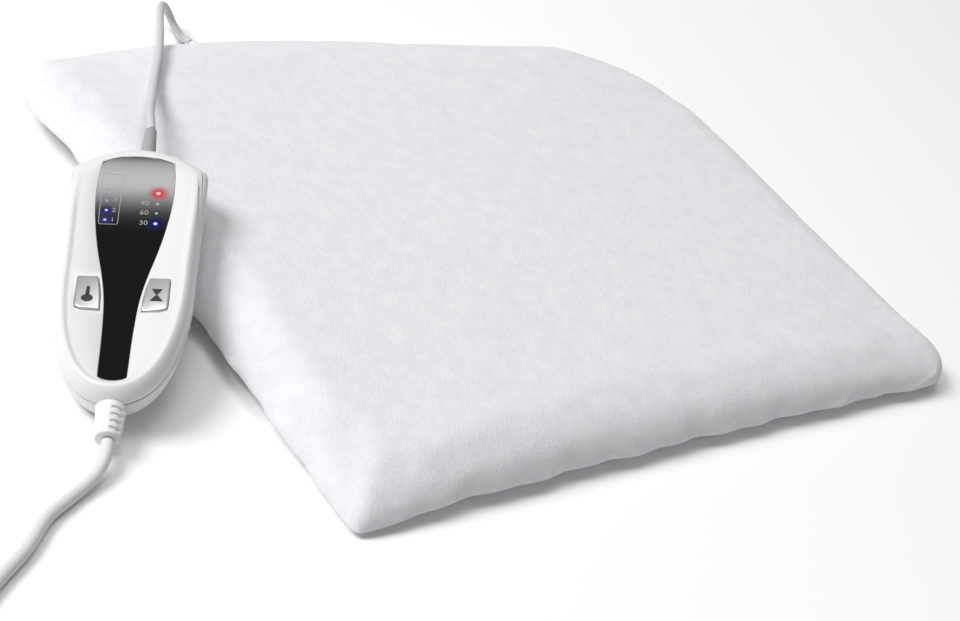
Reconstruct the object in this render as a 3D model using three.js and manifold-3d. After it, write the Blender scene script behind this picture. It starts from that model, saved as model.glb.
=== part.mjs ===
// A fleece-covered heating pad with its hand control. One lead joins the pad to the control, and a mains
// lead runs from the control to a coil and a flat two-pin plug.
// Millimetres, +Z up. The origin is the middle of the pad's flat underside, which lies on the surface.
// +X runs along the pad's long near side, and +Y from there to its back side.

import * as THREE from 'three';
import { mergeVertices } from 'three/addons/utils/BufferGeometryUtils.js';
import Module from 'manifold-3d';

const wasm = await Module();
wasm.setup();

const DEGREE = Math.PI / 180;
const GAP = 0.3; // between pieces that touch on the real object

// The pad: one filled cushion, its two covers joined by a seam a little above the surface.
const PAD = { length: 460, width: 340, seamHeight: 8, lip: 1.6 };
const PAD_FORM = { rise: 19, rollOver: 27, crown: 3, underRoll: 9, cornerThin: 0.25, cornerReach: 70 };
const PAD_CELLS = { along: 42, across: 34, edgeBias: 1.6 };
// How far each side is drawn in at its middle, and how much more so towards one end, in mm.
const PAD_BOW = { near: [3.6, 0], right: [0, -4.5], back: [-15.8, 7.1], left: [4.6, -1] };
const PAD_CORNER = { nearLeft: 5, nearRight: 28, backRight: 94, backLeft: 30 };
const PAD_LIFT = { height: 7, reach: 177, fullAt: 296 }; // the left side curls up towards the back
const PAD_CURL = { height: 4.5, y: 98, reach: 45, inward: 70 }; // and most between the control and the corner
const PAD_TIP = { inward: 6, dip: 5, reach: 34 }; // the near left corner is drawn in, and its seam dips
const PAD_PUCKER = { plan: 0.7, height: 0.5, longWave: 74, shortWave: 31 };

// The hand control, in its own frame: +Y towards the pad's lead, +Z out of the face, 0 at the rim's top.
const CONTROL = {
  halfWidth: 33.3, top: 21.4, bottom: -137.3, parting: -9, belly: -26, face: -1.2, segments: 64,
};
const CONTROL_TOP = { shoulderX: 27, shoulderY: 11.7, sideY: 3.9 };
const CONTROL_SIDE = { x: 31.7, y: -64.5 };
const RIM = { outer: 4, inner: 6.2, foot: 7.6, fadeFrom: -26, fadeTo: 0 };
const BELLY = { inset: 16, power: 2.2 };
const PARTING_SLOPE = { from: -46, to: -4, height: -2.7, wall: 6 }; // the outer wall's parting near the top end
// The control leans on the pad's left side: turned in plan, then tilted about the line of that side.
const CONTROL_SEAT = { x: -233.1, y: 36.2, z: 49.9, turn: -33.6, lean: -20 };

// The black window: half its width at each station along the control.
const WINDOW_STATIONS = [
  { y: 8.4, half: 17 }, { y: -5, half: 18.1 }, { y: -20, half: 17.8 }, { y: -36, half: 16.1 },
  { y: -52, half: 13.4 }, { y: -66, half: 10.4 }, { y: -80, half: 8.1 }, { y: -95, half: 7 },
  { y: -127.5, half: 6.3 },
];
const WINDOW = { topArc: 17.2, bottomArc: -131.2, sunk: 0.15, thick: 1.5 };

// The two keys, which press in. The outline is the right key's, and the left one mirrors it.
const KEY = { top: -68, bottom: -88.4, outer: 20.8, innerTop: 11.8, innerBottom: 9.4, corner: 4.6 };
const KEY_DEPTH = { proud: 0.9, bottom: -3.2, pocket: -4.5, clearance: 0.35, bevel: 0.5 };

// Cords and the tapered sleeves that they leave their housings through.
const LEAD = { diameter: 4.6, sides: 10, steps: 46 };
const MAINS = { diameter: 5.8, sides: 10, steps: 22, tailSteps: 4 };
const LEAD_SLEEVE = { x: 2.3, z: -12, from: 16, to: 43.2, base: 4.2, tip: 2.9, grooves: 0 };
const MAINS_SLEEVE = { x: 0, z: -12, from: -132, to: -153.7, base: 7.2, tip: 5.6, grooves: 4 };
const GROOVE = { depth: 0.9, width: 1.7, pitch: 3.6, firstAt: 7.5 };
const PAD_SLEEVE = { x: -91, height: 8.6, inset: 5, length: 14, base: 4.4, tip: 3 };

// The coil of mains lead put away beside the pad, and the tail that leaves it for the plug.
const COIL = { x: -452.9, y: -142.6, outerTurn: 43, turnPitch: 5.9, turns: 4, layers: 2, chamfer: 2.2 };
const PLUG = { width: 35, neck: 17, length: 36, thick: 14, straight: 13, bevel: 1.6 };
const PLUG_SLEEVE = { length: 20, base: 5, tip: 3.8 };
const PIN = { diameter: 4, length: 19, spacing: 18.6, tip: 1.2 };
const PLUG_SEAT = { x: -495.9, y: -66, z: 7 };

// Each lead's route, from the control outwards.
const LEAD_ROUTE = [
  [-204.2, 71.5, 47.4], [-200.4, 79.4, 48.5], [-194.7, 88.7, 47.1], [-187.1, 99, 44.3],
  [-179.1, 110, 40.8], [-171.4, 120.4, 37.6], [-164.6, 129.8, 35.5], [-158.5, 138.4, 34.6],
  [-152.4, 147, 34.9], [-145.7, 157.1, 34.9], [-137.7, 169.2, 33.4], [-128.2, 183.2, 29.8],
  [-118.2, 197.9, 24.9], [-108.8, 211.5, 20.7], [-101.4, 222.1, 18.2], [-95.8, 228.3, 15.9],
  [-91.5, 229.9, 12.6], [-88.5, 229.1, 8.5], [-86.7, 226.1, 4.9], [-86, 221.3, 2.8],
  [-86.9, 215.4, 2.9], [-88.9, 209.6, 4.9], [-90.5, 204.4, 7.4], [-91, 199.3, 8.6],
];
const MAINS_ROUTE = [
  [-308.9, -92.6, 9.1], [-313, -98.7, 7.6], [-318.6, -104.2, 5.5], [-325.6, -108.5, 3.9],
  [-333.3, -112.2, 3], [-341.2, -116, 3], [-348.6, -119.6, 3], [-355.2, -124, 3],
  [-361.4, -129.3, 3], [-368.2, -135, 3], [-376.2, -140.4, 3], [-385.6, -146.4, 3],
  [-395.8, -153.4, 3], [-407.9, -162.4, 3],
];
const TAIL_ROUTE = [[-495.9, -118.4, 8.2], [-495.9, -108, 6.8], [-495.9, -98, 6.5], [-495.9, -86.7, 7]];

const COLOUR = {
  fleece: 0xf4f4f6, shell: 0xefeff0, window: 0x101012, key: 0xb9bbbd,
  lead: 0xe2e2e6, sleeve: 0xdcdce0, metal: 0xc8c8c4,
};

const material = (color, roughness, metalness = 0) =>
  new THREE.MeshStandardMaterial({ color, roughness, metalness });

function piece(name, geometry, surface) {
  const mesh = new THREE.Mesh(geometry, surface);
  mesh.name = name;
  return mesh;
}

const clamp = (value) => Math.min(1, Math.max(0, value));

// A quarter of an ellipse: 0 at the seam, 1 once the distance reaches the roll-over.
const rollUp = (share) => Math.sqrt(1 - (1 - clamp(share)) ** 2);

// Positions alone, with shared corners merged, as the boolean needs them.
function welded(geometry) {
  const bare = geometry.clone();
  for (const name of Object.keys(bare.attributes)) {
    if (name !== 'position') bare.deleteAttribute(name);
  }
  return mergeVertices(bare, 1e-4);
}

function toSolid(geometry) {
  const bare = welded(geometry);
  return new wasm.Manifold(new wasm.Mesh({
    numProp: 3,
    vertProperties: new Float32Array(bare.attributes.position.array),
    triVerts: new Uint32Array(bare.index.array),
  }));
}

function toGeometry(solid) {
  const mesh = solid.getMesh();
  const geometry = new THREE.BufferGeometry();
  geometry.setAttribute('position', new THREE.BufferAttribute(mesh.vertProperties, 3));
  geometry.setIndex(new THREE.BufferAttribute(mesh.triVerts, 1));
  geometry.computeVertexNormals();
  return geometry;
}

const cut = (geometry, ...tools) =>
  toGeometry(tools.reduce((solid, tool) => solid.subtract(toSolid(tool)), toSolid(geometry)));

// The pad's outline in plan

// Near a corner, a point on the straight outline moves onto the corner's arc.
function roundCorner(fromEnd, fromSide, radius) {
  const along = fromEnd + fromSide;
  if (along >= radius) return [fromEnd, fromSide];
  const angle = (1 - along / radius) * Math.PI / 4;
  const small = radius * (1 - Math.cos(angle));
  const large = radius * (1 - Math.sin(angle));
  return fromEnd === 0 ? [small, large] : [large, small];
}

function cornerRadius(s, t) {
  if (t < 0) return s < 0 ? PAD_CORNER.nearLeft : PAD_CORNER.nearRight;
  return s < 0 ? PAD_CORNER.backLeft : PAD_CORNER.backRight;
}

// A side's share runs from -1 at one end to 1 at the other.
function drawnIn(side, share) {
  const [middle, lean] = PAD_BOW[side];
  const along = Math.min(1, Math.max(-1, share));
  return middle * Math.cos(Math.PI / 2 * along) + lean * Math.sin(Math.PI * along);
}

// 1 at the near left corner, fading to 0 round it.
const tipShare = (x, y) =>
  Math.exp(-((Math.hypot(x + PAD.length / 2, y + PAD.width / 2) / PAD_TIP.reach) ** 2));

// s and t run from -1 to 1, and one of them is at its end.
function padEdge(s, t) {
  const [halfLength, halfWidth] = [PAD.length / 2, PAD.width / 2];
  const [fromEnd, fromSide] = roundCorner(
    halfLength * (1 - Math.abs(s)), halfWidth * (1 - Math.abs(t)), cornerRadius(s, t));
  const edge = new THREE.Vector2(Math.sign(s) * (halfLength - fromEnd), Math.sign(t) * (halfWidth - fromSide));
  const run = edge.x + 1.7 * edge.y;
  const pucker = PAD_PUCKER.plan * (Math.sin(run / PAD_PUCKER.longWave * 6) + Math.sin(run / PAD_PUCKER.shortWave * 6));
  if (Math.abs(t) >= Math.abs(s)) {
    edge.y -= Math.sign(t) * (drawnIn(t < 0 ? 'near' : 'back', edge.x / halfLength) + pucker * clamp(fromEnd / 40));
  } else {
    edge.x -= Math.sign(s) * (drawnIn(s < 0 ? 'left' : 'right', edge.y / halfWidth) + pucker * clamp(fromSide / 40));
  }
  edge.x += PAD_TIP.inward * tipShare(edge.x, edge.y);
  return edge;
}

// How far inside the seam a point lies, taking the nearest of the sides and the outline itself.
function seamDistance(x, y, toEdge) {
  const fromEnd = PAD.length / 2 - Math.abs(x) - drawnIn(x < 0 ? 'left' : 'right', 2 * y / PAD.width)
    - PAD_TIP.inward * tipShare(x, y);
  const fromSide = PAD.width / 2 - Math.abs(y) - drawnIn(y < 0 ? 'near' : 'back', 2 * x / PAD.length);
  return Math.max(0, Math.min(fromEnd, fromSide, toEdge));
}

function padLift(x, y) {
  const fromLeft = x + PAD.length / 2;
  const slope = clamp(1 - fromLeft / PAD_LIFT.reach) ** 1.7 * clamp((y + PAD.width / 2) / PAD_LIFT.fullAt) ** 0.9;
  const hump = clamp(1 - fromLeft / PAD_CURL.inward) ** 1.7
    * Math.cos(Math.PI / 2 * clamp(Math.abs(y - PAD_CURL.y) / PAD_CURL.reach)) ** 2;
  return PAD_LIFT.height * slope + PAD_CURL.height * hump;
}

function cornerThinning(x, y) {
  const away = Math.hypot(PAD.length / 2 - Math.abs(x), PAD.width / 2 - Math.abs(y));
  return 1 - PAD_FORM.cornerThin * Math.exp(-((away / PAD_FORM.cornerReach) ** 2));
}

function padHeight(x, y, distance, onTop) {
  const lift = padLift(x, y);
  const seam = PAD.seamHeight - PAD_TIP.dip * tipShare(x, y);
  if (!onTop) return lift + (seam - PAD.lip / 2) * (1 - clamp(distance / PAD_FORM.underRoll)) ** 1.3;
  const crown = (1 - (2 * x / PAD.length) ** 2) * (1 - (2 * y / PAD.width) ** 2);
  const rise = PAD_FORM.rise * rollUp(distance / PAD_FORM.rollOver) * cornerThinning(x, y);
  return lift + seam + PAD.lip / 2 + rise + PAD_FORM.crown * Math.max(0, crown);
}

// A box of cells is drawn out to the pad's outline, its rings of cells closing up towards the seam.
function padBody() {
  const geometry = new THREE.BoxGeometry(2, 2, 2, PAD_CELLS.along, PAD_CELLS.across, 1);
  const position = geometry.attributes.position;
  for (let i = 0; i < position.count; i++) {
    const [s, t] = [position.getX(i), position.getY(i)];
    const ring = Math.max(Math.abs(s), Math.abs(t));
    const reach = 1 - (1 - ring) ** PAD_CELLS.edgeBias;
    const edge = ring > 0 ? padEdge(s / ring, t / ring) : padEdge(1, 0);
    const [x, y] = [edge.x * reach, edge.y * reach];
    const toEdge = ring === 1 ? 0 : edge.length() * (1 - reach);
    const distance = seamDistance(x, y, toEdge);
    position.setXYZ(i, x, y, padHeight(x, y, distance, position.getZ(i) > 0));
  }
  return geometry;
}

const backSeam = (x) => padEdge(2 * x / PAD.length, 1).y;

// The control's shells

function controlOutline() {
  const { top, bottom, halfWidth } = CONTROL;
  const { shoulderX, shoulderY, sideY } = CONTROL_TOP;
  const right = new THREE.CurvePath();
  const curve = (...xy) => {
    const corners = [];
    for (let i = 0; i < xy.length; i += 2) corners.push(new THREE.Vector2(xy[i], xy[i + 1]));
    right.add(new THREE.CubicBezierCurve(...corners));
  };
  curve(0, top, shoulderX * 0.4, top, shoulderX * 0.8, top * 0.75, shoulderX, shoulderY);
  curve(shoulderX, shoulderY, halfWidth - 1.6, shoulderY - 3.4, halfWidth, sideY * 2, halfWidth, sideY);
  curve(halfWidth, sideY, halfWidth + 0.3, -18.7, CONTROL_SIDE.x, -42, CONTROL_SIDE.x, CONTROL_SIDE.y);
  curve(CONTROL_SIDE.x, CONTROL_SIDE.y, CONTROL_SIDE.x, -101, CONTROL_SIDE.x * 0.75, bottom, 0, bottom);
  const half = right.getSpacedPoints(CONTROL.segments / 2);
  const left = half.slice(1, -1).reverse().map((p) => new THREE.Vector2(-p.x, p.y));
  return [...half, ...left].reverse(); // counter-clockwise, seen from the face
}

// A cylinder's rings are drawn out to the outline, each with its own inset and height.
function shellForm(levels) {
  const outline = controlOutline();
  const middle = (CONTROL.top + CONTROL.bottom) / 2;
  const halfLength = (CONTROL.top - CONTROL.bottom) / 2;
  const geometry = new THREE.CylinderGeometry(1, 1, 1, outline.length, levels.length - 1);
  const position = geometry.attributes.position;
  for (let i = 0; i < position.count; i++) {
    const [x, height, z] = [position.getX(i), position.getY(i), position.getZ(i)];
    const level = levels[Math.round((height + 0.5) * (levels.length - 1))];
    const turn = Math.atan2(-z, x) / (2 * Math.PI);
    const at = outline[Math.round((turn + 1) * outline.length) % outline.length];
    const onAxis = Math.hypot(x, z) < 0.5;
    const px = onAxis ? 0 : at.x * (1 - level.inset / CONTROL.halfWidth);
    const py = onAxis ? middle : middle + (at.y - middle) * (1 - level.inset / halfLength);
    const rim = level.rim ? level.rim * rimHeight(py) : 0;
    position.setXYZ(i, px, py, level.z + rim);
  }
  return geometry;
}

// The raised rim runs along both sides and round the bottom, and dies away towards the top.
const rimHeight = (y) => -CONTROL.face * clamp((RIM.fadeTo - y) / (RIM.fadeTo - RIM.fadeFrom));

function wholeShell() {
  const { parting, belly, face } = CONTROL;
  const curved = [1, 0.96, 0.9, 0.8, 0.65, 0.45, 0.2].map((share) => ({
    z: parting - (parting - belly) * share,
    inset: BELLY.inset * (1 - Math.sqrt(Math.max(0, 1 - share ** BELLY.power))),
  }));
  return shellForm([
    ...curved,
    { z: parting - 0.9, inset: 0 },
    { z: parting + 0.6, inset: 0 },
    { z: -6, inset: 0.3 },
    { z: -3.9, inset: 1, rim: 0.5 },
    { z: face - 1.2, inset: 2.2, rim: 1 },
    { z: face, inset: RIM.outer, rim: 1 },
    { z: face, inset: RIM.inner, rim: 1 },
    { z: face, inset: RIM.foot },
  ]);
}

// All that lies under the parting, which is level but for the outer wall near the top end.
function underParting(shift) {
  const { from, to, height, wall } = PARTING_SLOPE;
  const level = CONTROL.parting + shift;
  const side = new THREE.Shape([
    [from, level - 2], [80, level - 2], [80, height + shift], [to, height + shift], [from, level],
  ].map(([y, z]) => new THREE.Vector2(y, z)));
  const across = new THREE.Matrix4().makeBasis(
    new THREE.Vector3(0, 1, 0), new THREE.Vector3(0, 0, 1), new THREE.Vector3(1, 0, 0));
  const slope = new THREE.ExtrudeGeometry(side, { depth: 200, bevelEnabled: false })
    .translate(0, 0, -100).applyMatrix4(across);
  const core = shellForm([{ z: level - 4, inset: wall + shift }, { z: 10, inset: wall + shift }]);
  const flat = new THREE.BoxGeometry(200, 400, 60).translate(0, 0, level - 30);
  return toGeometry(toSolid(flat).add(toSolid(cut(slope, core))));
}

// The window and the keys

function windowShape(grow) {
  const right = WINDOW_STATIONS.map(({ y, half }) => new THREE.Vector2(half + grow, y));
  const left = right.map((p) => new THREE.Vector2(-p.x, p.y)).reverse();
  const shape = new THREE.Shape();
  shape.moveTo(right[0].x, right[0].y + grow);
  shape.splineThru(right.slice(1));
  shape.quadraticCurveTo(0, WINDOW.bottomArc - 2 * grow, left[0].x, left[0].y);
  shape.splineThru([...left.slice(1, -1), new THREE.Vector2(left.at(-1).x, left.at(-1).y + grow)]);
  shape.quadraticCurveTo(0, WINDOW.topArc + grow, right[0].x, right[0].y + grow);
  return shape;
}

function keyShape(grow) {
  const { top, bottom, outer, innerTop, innerBottom, corner } = KEY;
  const shape = new THREE.Shape();
  shape.moveTo(innerTop - grow, top + grow);
  shape.quadraticCurveTo(innerBottom + 0.4 - grow, (top + bottom) / 2, innerBottom - grow, bottom - grow);
  shape.lineTo(outer - corner, bottom + 0.5 - grow);
  shape.quadraticCurveTo(outer - 0.6 + grow, bottom + 1 - grow, outer + grow, bottom + 0.5 + corner);
  shape.lineTo(outer + grow, top + grow);
  shape.closePath();
  return shape;
}

function plate(shape, low, high, bevel = 0) {
  const geometry = new THREE.ExtrudeGeometry(shape, {
    depth: high - low - bevel, curveSegments: 8, bevelEnabled: false,
  });
  if (bevel === 0) return geometry.translate(0, 0, low);
  return new THREE.ExtrudeGeometry(shape, {
    depth: high - low - 2 * bevel, curveSegments: 8,
    bevelEnabled: true, bevelThickness: bevel, bevelSize: bevel, bevelOffset: -bevel, bevelSegments: 2,
  }).translate(0, 0, low + bevel);
}

const mirrored = (geometry) => {
  const flipped = welded(geometry.clone().scale(-1, 1, 1));
  const index = flipped.index.array;
  for (let i = 0; i < index.length; i += 3) [index[i], index[i + 1]] = [index[i + 1], index[i]];
  return flipped;
};

const windowPlate = () =>
  plate(windowShape(0), CONTROL.face - WINDOW.sunk - WINDOW.thick, CONTROL.face - WINDOW.sunk);
const windowPocket = () => plate(windowShape(GAP), CONTROL.face - WINDOW.sunk - WINDOW.thick - GAP, 4);
const keyCap = () => plate(keyShape(0), KEY_DEPTH.bottom, CONTROL.face + KEY_DEPTH.proud, KEY_DEPTH.bevel);
const keyPocket = () => plate(keyShape(KEY_DEPTH.clearance), KEY_DEPTH.pocket, 4);

// Sleeves, turned on +Y from a base inside the housing to the tip that the cord leaves

function sleeveProfile(length, base, tip, grooves) {
  const radiusAt = (y) => base + (tip - base) * y / length;
  const profile = [[0, 0], [base, 0]];
  for (let i = 0; i < grooves; i++) {
    const y = GROOVE.firstAt + i * GROOVE.pitch;
    profile.push([radiusAt(y), y], [radiusAt(y) - GROOVE.depth, y + 0.2]);
    profile.push([radiusAt(y) - GROOVE.depth, y + GROOVE.width - 0.2], [radiusAt(y), y + GROOVE.width]);
  }
  profile.push([tip, length - 0.6], [tip - 0.6, length], [0, length]);
  return profile.map(([radius, y]) => new THREE.Vector2(radius, y));
}

const sleeve = (length, base, tip, grooves = 0) =>
  new THREE.LatheGeometry(sleeveProfile(length, base, tip, grooves), 20);

function controlSleeve({ x, z, from, to, base, tip, grooves }) {
  const form = sleeve(Math.abs(to - from), base, tip, grooves);
  if (to < from) form.rotateX(Math.PI);
  return form.translate(x, from, z);
}

// The pocket reaches from just behind the sleeve's base to well outside the shell.
function sleevePocket({ x, z, from, to, base }) {
  const outwards = Math.sign(to - from);
  const depth = 40;
  return new THREE.CylinderGeometry(base + GAP, base + GAP, depth, 20)
    .translate(x, from + outwards * (depth / 2 - GAP), z);
}

// Cords

function cord(route, diameter, sides, steps) {
  const path = new THREE.CatmullRomCurve3(route.map((p) => new THREE.Vector3(...p)), false, 'centripetal');
  const section = new THREE.Shape();
  for (let i = 0; i < sides; i++) {
    const angle = 2 * Math.PI * i / sides;
    const [x, y] = [diameter / 2 * Math.cos(angle), diameter / 2 * Math.sin(angle)];
    if (i === 0) section.moveTo(x, y);
    else section.lineTo(x, y);
  }
  section.closePath();
  return new THREE.ExtrudeGeometry(section, { steps, bevelEnabled: false, extrudePath: path });
}

function coilRing() {
  const half = MAINS.diameter / 2;
  const outer = COIL.outerTurn + half;
  const inner = COIL.outerTurn - (COIL.turns - 1) * COIL.turnPitch - half;
  const top = COIL.layers * COIL.turnPitch;
  const c = COIL.chamfer;
  const profile = [
    [inner + c, 0], [outer - c, 0], [outer, c], [outer, top - c],
    [outer - c, top], [inner + c, top], [inner, top - c], [inner, c], [inner + c, 0],
  ].map(([radius, y]) => new THREE.Vector2(radius, y));
  return new THREE.LatheGeometry(profile, 48).rotateX(Math.PI / 2).translate(COIL.x, COIL.y, 0);
}

// The plug lies flat, its pins towards +Y

function plugShape() {
  const { width, neck, length, straight } = PLUG;
  const shape = new THREE.Shape();
  shape.moveTo(-neck / 2, 0);
  shape.lineTo(neck / 2, 0);
  shape.lineTo(width / 2, length - straight);
  shape.lineTo(width / 2, length);
  shape.lineTo(-width / 2, length);
  shape.lineTo(-width / 2, length - straight);
  shape.closePath();
  return shape;
}

function pin() {
  const [radius, { length, tip }] = [PIN.diameter / 2, PIN];
  const profile = [[0, 0], [radius, 0], [radius, length - tip], [radius - tip * 0.4, length - tip * 0.3],
    [radius - tip, length], [0, length]];
  return new THREE.LatheGeometry(profile.map(([r, y]) => new THREE.Vector2(r, y)), 16);
}

// Assembly

const fleece = material(COLOUR.fleece, 0.95);
const shellPlastic = material(COLOUR.shell, 0.35);
const keyPlastic = material(COLOUR.key, 0.3, 0.6);
const leadPlastic = material(COLOUR.lead, 0.55);
const sleevePlastic = material(COLOUR.sleeve, 0.6);
const plugMetal = material(COLOUR.metal, 0.25, 0.9);

function padPieces() {
  const group = new THREE.Group();
  const base = backSeam(PAD_SLEEVE.x) - PAD_SLEEVE.inset;
  const pocket = new THREE.CylinderGeometry(PAD_SLEEVE.base + GAP, PAD_SLEEVE.base + GAP, 30, 20)
    .translate(PAD_SLEEVE.x, base + 15 - GAP, PAD_SLEEVE.height);
  group.add(piece('pad', cut(padBody(), pocket), fleece));
  const padSleeve = piece('pad_sleeve', sleeve(PAD_SLEEVE.length, PAD_SLEEVE.base, PAD_SLEEVE.tip), sleevePlastic);
  padSleeve.position.set(PAD_SLEEVE.x, base, PAD_SLEEVE.height);
  group.add(padSleeve);
  return group;
}

function controlPieces() {
  const pockets = [sleevePocket(LEAD_SLEEVE), sleevePocket(MAINS_SLEEVE)];
  const whole = wholeShell();
  const upper = cut(whole, underParting(GAP / 2), windowPocket(), keyPocket(), mirrored(keyPocket()), ...pockets);
  const lower = toSolid(whole).intersect(toSolid(underParting(-GAP / 2)));
  const turned = new THREE.Group();
  turned.rotation.z = CONTROL_SEAT.turn * DEGREE;
  turned.add(piece('control_upper_shell', upper, shellPlastic));
  turned.add(piece('control_lower_shell', cut(toGeometry(lower), ...pockets), shellPlastic));
  turned.add(piece('control_window', windowPlate(), material(COLOUR.window, 0.12)));
  turned.add(piece('key_right', keyCap(), keyPlastic));
  turned.add(piece('key_left', mirrored(keyCap()), keyPlastic));
  turned.add(piece('lead_sleeve', controlSleeve(LEAD_SLEEVE), sleevePlastic));
  turned.add(piece('mains_sleeve', controlSleeve(MAINS_SLEEVE), sleevePlastic));
  const leaning = new THREE.Group();
  leaning.position.set(CONTROL_SEAT.x, CONTROL_SEAT.y, CONTROL_SEAT.z);
  leaning.rotation.y = CONTROL_SEAT.lean * DEGREE;
  leaning.add(turned);
  return leaning;
}

function cordPieces() {
  const group = new THREE.Group();
  group.add(piece('pad_lead', cord(LEAD_ROUTE, LEAD.diameter, LEAD.sides, LEAD.steps), leadPlastic));
  group.add(piece('mains_lead', cord(MAINS_ROUTE, MAINS.diameter, MAINS.sides, MAINS.steps), leadPlastic));
  group.add(piece('mains_coil', coilRing(), leadPlastic));
  group.add(piece('mains_tail', cord(TAIL_ROUTE, MAINS.diameter, MAINS.sides, MAINS.tailSteps), leadPlastic));
  return group;
}

function plugPieces() {
  const group = new THREE.Group();
  const plugHalf = PLUG.thick / 2;
  group.add(piece('plug_body', plate(plugShape(), -plugHalf, plugHalf, PLUG.bevel), shellPlastic));
  const plugSleeve = piece('plug_sleeve', sleeve(PLUG_SLEEVE.length, PLUG_SLEEVE.base, PLUG_SLEEVE.tip), sleevePlastic);
  plugSleeve.rotation.z = Math.PI;
  plugSleeve.position.y = -GAP;
  group.add(plugSleeve);
  for (const [side, name] of [[-1, 'plug_pin_left'], [1, 'plug_pin_right']]) {
    const plugPin = piece(name, pin(), plugMetal);
    plugPin.position.set(side * PIN.spacing / 2, PLUG.length + GAP, 0);
    group.add(plugPin);
  }
  group.position.set(PLUG_SEAT.x, PLUG_SEAT.y, PLUG_SEAT.z);
  return group;
}

const heatingPad = new THREE.Group();
heatingPad.add(padPieces(), controlPieces(), cordPieces(), plugPieces());

export default heatingPad;
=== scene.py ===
# %% [markdown]
# A heating pad is a flat fleece cushion with a heating wire inside, and here a white hand control
# leans on its left side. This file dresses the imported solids, which are loaded as a fixed frame:
# every piece below goes where they are, in metres, with the pad's flat underside on z = 0.

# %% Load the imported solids
import math

import bmesh
import bpy
from mathutils import Matrix, Vector, geometry


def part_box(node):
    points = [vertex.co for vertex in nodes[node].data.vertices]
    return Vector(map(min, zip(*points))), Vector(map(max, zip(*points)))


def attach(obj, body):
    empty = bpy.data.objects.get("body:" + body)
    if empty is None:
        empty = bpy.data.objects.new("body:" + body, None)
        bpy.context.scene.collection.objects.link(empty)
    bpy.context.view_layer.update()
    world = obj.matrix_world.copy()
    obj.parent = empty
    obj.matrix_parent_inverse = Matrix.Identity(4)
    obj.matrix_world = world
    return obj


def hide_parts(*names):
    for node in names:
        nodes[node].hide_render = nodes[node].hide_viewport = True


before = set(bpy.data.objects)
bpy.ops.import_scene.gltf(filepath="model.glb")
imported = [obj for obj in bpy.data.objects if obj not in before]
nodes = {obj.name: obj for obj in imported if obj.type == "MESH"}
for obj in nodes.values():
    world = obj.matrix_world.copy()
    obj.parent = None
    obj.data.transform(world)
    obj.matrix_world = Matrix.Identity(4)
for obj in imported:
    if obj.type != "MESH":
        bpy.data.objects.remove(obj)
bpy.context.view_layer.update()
MM = 0.001
BODY = "pad_and_control"
print("solids:", ", ".join(sorted(nodes)))

# %% [markdown]
# The picture is taken from the pad's near left corner, from a little above, with a long lens. The
# camera is turned about its own axis too, so that the pad's near corner hangs low in the frame.

# %% Camera
CAMERA_PLACE = Vector((-0.75477, -0.59551, 0.56829))
CAMERA_TARGET = Vector((-0.049, -0.0427, 0.0))
CAMERA_ROLL = math.radians(24.946)
camera_data = bpy.data.cameras.new("camera")
camera_data.lens = 75.01
camera_data.sensor_width = 36.0
camera = bpy.data.objects.new("camera", camera_data)
bpy.context.scene.collection.objects.link(camera)
camera.location = CAMERA_PLACE
facing = (CAMERA_TARGET - CAMERA_PLACE).to_track_quat("-Z", "Y").to_matrix()
camera.rotation_euler = (facing @ Matrix.Rotation(CAMERA_ROLL, 3, "Z")).to_euler()
bpy.context.scene.camera = camera
print("camera to target:", round((CAMERA_TARGET - CAMERA_PLACE).length, 3), "m")

# %% [markdown]
# The cords come next, because they are the only thing that could reach far outside the picture. A
# cord is one smooth curve of fixed length. Its route is a short list of points that a hand could
# lay out, and a Bezier spline with automatic handles runs evenly through them.

# %% A cord from its route
def add_to_scene(name, data, body=BODY):
    made = bpy.data.objects.new(name, data)
    bpy.context.scene.collection.objects.link(made)
    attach(made, body)
    return made


def make_cord(name, route, diameter):
    curve = bpy.data.curves.new(name, "CURVE")
    curve.dimensions = "3D"
    curve.bevel_depth = 1.0  # each point's own radius is in metres
    curve.bevel_resolution = 3
    curve.resolution_u = 6
    curve.use_fill_caps = True
    spline = curve.splines.new("BEZIER")
    spline.bezier_points.add(len(route) - 1)
    for point, place in zip(spline.bezier_points, route):
        point.co = Vector(place)
        point.radius = diameter / 2
        point.handle_left_type = point.handle_right_type = "AUTO"
    length = sum((Vector(b) - Vector(a)).length for a, b in zip(route, route[1:]))
    print(name, "is about", round(length, 3), "m long between its", len(route), "points")
    return add_to_scene(name, curve)


# %% [markdown]
# The thin lead joins the control to the pad. It lies over the pad's left side, drops behind the
# back seam, turns round on the floor and goes into a short sleeve that is sewn into that seam.

# %% The lead from the control to the pad
def from_mm(points):
    return [Vector(point) * MM for point in points]


LEAD_DIAMETER = 4.6 * MM
LEAD_ROUTE_MM = [
    (-204.2, 71.5, 47.4), (-200.4, 79.4, 48.5), (-194.7, 88.7, 47.1), (-187.1, 99, 44.3),
    (-179.1, 110, 40.8), (-171.4, 120.4, 37.6), (-164.6, 129.8, 35.5), (-158.5, 138.4, 34.6),
    (-152.4, 147, 34.9), (-145.7, 157.1, 34.9), (-137.7, 169.2, 33.4), (-128.2, 183.2, 29.8),
    (-118.2, 197.9, 24.9), (-108.8, 211.5, 20.7), (-101.4, 222.1, 18.2), (-95.8, 228.3, 15.9),
    (-91.5, 229.9, 12.6), (-88.5, 229.1, 8.5), (-86.7, 226.1, 4.9), (-86, 221.3, 2.8),
    (-86.9, 215.4, 2.9), (-88.9, 209.6, 4.9), (-90.5, 204.4, 7.4), (-91, 199.3, 8.6),
]
lead_route = from_mm(LEAD_ROUTE_MM)
pad_lead = make_cord("pad_lead_cord", lead_route, LEAD_DIAMETER)
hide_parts("pad_lead")

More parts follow.
